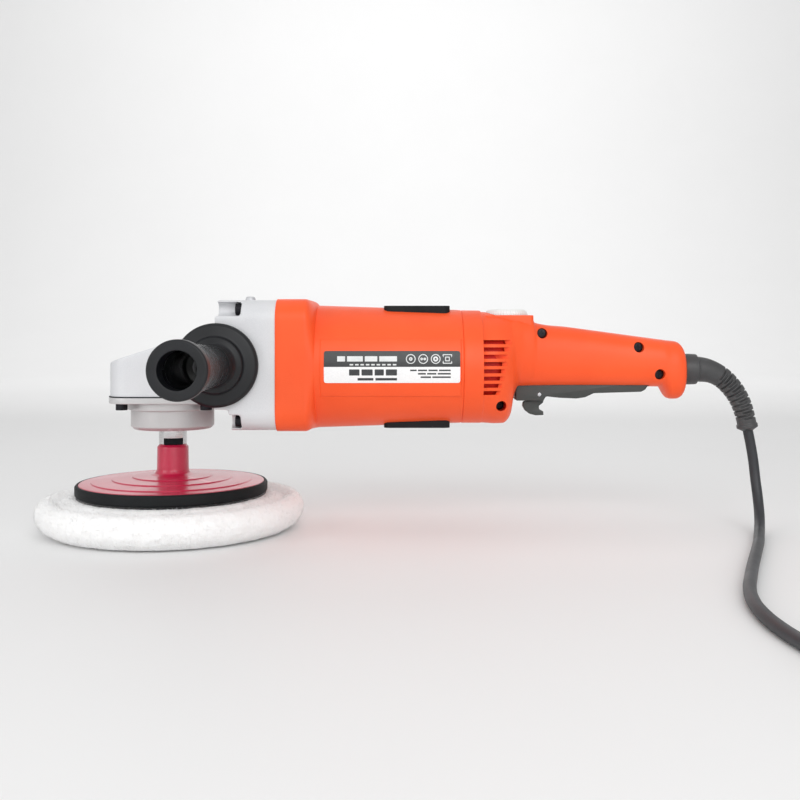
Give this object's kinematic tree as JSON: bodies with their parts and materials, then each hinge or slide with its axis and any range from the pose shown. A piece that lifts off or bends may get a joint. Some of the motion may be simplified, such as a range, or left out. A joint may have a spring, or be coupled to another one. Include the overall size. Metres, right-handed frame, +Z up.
{
  "type": "rotary polisher",
  "caption": "Corded right-angle rotary polisher with wool pad, stick side handle, lever switch, speed dial and a mains cord laid on the floor.",
  "frame": {"origin": "where the spindle axis meets the wool pad's flat working face", "axes": "+Z up along the spindle, +X along the motor to the rear handle, the side handle points to -Y"},
  "size_m": [0.6272, 0.5325, 0.1875],
  "materials": {
    "housing_plastic": "satin moulded plastic, orange",
    "cast_alloy": "fine sand-blasted die casting, light grey",
    "cover_alloy": "fine die casting, grey",
    "black_screws": "black oxide steel",
    "bright_steel": "ground steel",
    "gear_steel": "hardened gear steel",
    "gasket": "black gasket",
    "dark_plastic": "black moulded plastic",
    "laminations": "stacked laminations",
    "copper": "enamelled copper",
    "brass": "brass",
    "carbon": "pressed carbon",
    "black_rubber": "black rubber, satin",
    "label": "printed film, dark band over white",
    "board": "circuit board and potentiometer",
    "capacitor": "yellow film capacitor",
    "cord_sheath": "black rubber sheath",
    "plug_chrome": "nickel-plated pins",
    "plate_plastic": "crimson moulded plastic",
    "hook_fabric": "hook fabric",
    "wool": "dense tufted lambswool",
    "fan_plastic": "glass-filled plastic",
    "dial_plastic": "white moulded plastic",
    "button_steel": "polished button",
    "red_plastic": "red plastic"
  },
  "bodies": {
    "tool": {"motor_housing": "housing_plastic", "gear_housing": "cast_alloy", "gear_housing_screws": "black_screws", "gear_cover": "cover_alloy", "gear_cover_gasket": "gasket", "gear_cover_screws": "black_screws", "lower_spindle_bearing": "bright_steel", "bearing_retainer": "bright_steel", "upper_needle_bearing": "bright_steel", "spindle_seal": "black_rubber", "fan_baffle": "dark_plastic", "stator_core": "laminations", "field_coils": "copper", "brush_holders": "brass", "carbon_brushes": "carbon", "brush_springs": "bright_steel", "armature_front_bearing": "bright_steel", "armature_rear_bearing": "bright_steel", "rear_bearing_sleeve": "black_rubber", "bumper_pads": "black_rubber", "rating_label": "label", "handle_shell_left": "housing_plastic", "handle_shell_right": "housing_plastic", "housing_screws": "black_screws", "switch_body": "dark_plastic", "speed_controller": "board", "suppression_capacitor": "capacitor", "cord_clamp": "dark_plastic", "inner_leads": "cord_sheath", "cord_boot": "black_rubber", "power_cord": "cord_sheath", "cord_coil": "cord_sheath", "mains_plug": "cord_sheath", "plug_pins": "plug_chrome", "side_grip": "black_rubber", "side_handle_stud": "bright_steel", "shaft_lock_spring": "bright_steel"},
    "spindle_group": {"spindle": "bright_steel", "spindle_key": "bright_steel", "gear_spacer": "bright_steel", "ring_gear": "gear_steel", "gear_retaining_ring": "black_screws", "backing_plate": "plate_plastic", "backing_rubber": "black_rubber", "hook_disc": "hook_fabric", "wool_pad": "wool"},
    "armature_group": {"armature_shaft": "bright_steel", "drive_pinion": "gear_steel", "pinion_nut": "black_screws", "lock_collar": "bright_steel", "cooling_fan": "fan_plastic", "armature_core": "laminations", "armature_windings": "copper", "commutator": "brass"},
    "trigger": {"trigger_lever": "dark_plastic", "lock_lever_pin": "bright_steel"},
    "lock_off_lever": {"lock_lever": "dark_plastic"},
    "dial": {"speed_dial": "dial_plastic"},
    "lock_button": {"shaft_lock_button": "button_steel"},
    "plunger": {"switch_plunger": "red_plastic"}
  },
  "joints": [
    {"name": "spindle_spin", "type": "hinge", "parent": "tool", "child": "spindle_group", "pos_m": [0, 0, 0.09], "axis": [0, 0, 1], "continuous": true},
    {"name": "armature_spin", "type": "hinge", "parent": "tool", "child": "armature_group", "pos_m": [0.14, 0, 0.132], "axis": [1, 0, 0], "continuous": true},
    {"name": "trigger_pull", "type": "hinge", "parent": "tool", "child": "trigger", "pos_m": [0.378, 0, 0.1215], "axis": [0, 1, 0], "range_deg": [0, 4], "stiffness_Nm_per_rad": 4, "springref_deg": -5.73},
    {"name": "lock_lever_swing", "type": "hinge", "parent": "trigger", "child": "lock_off_lever", "pos_m": [0.2962, 0, 0.1085], "axis": [0, 1, 0], "range_deg": [-25, 0], "stiffness_Nm_per_rad": 0.05, "springref_deg": 17.19},
    {"name": "speed_dial_turn", "type": "hinge", "parent": "tool", "child": "dial", "pos_m": [0.2705, 0, 0.17], "axis": [0, 0, 1], "range_deg": [0, 270]},
    {"name": "shaft_lock_press", "type": "slide", "parent": "tool", "child": "lock_button", "axis": [0, 0, -1], "range_m": [0, 0.004], "stiffness_N_per_m": 600, "springref_m": -0.002, "deforming": ["shaft_lock_spring"]},
    {"name": "switch_plunger_slide", "type": "slide", "parent": "tool", "child": "plunger", "axis": [0, 0, 1], "range_m": [0, 0.0047]}
  ],
  "couplings": [
    {"joint": "armature_spin", "follows": "spindle_spin", "ratio": 4.5556},
    {"joint": "switch_plunger_slide", "follows": "trigger_pull", "m_per_rad": 0.066}
  ]
}
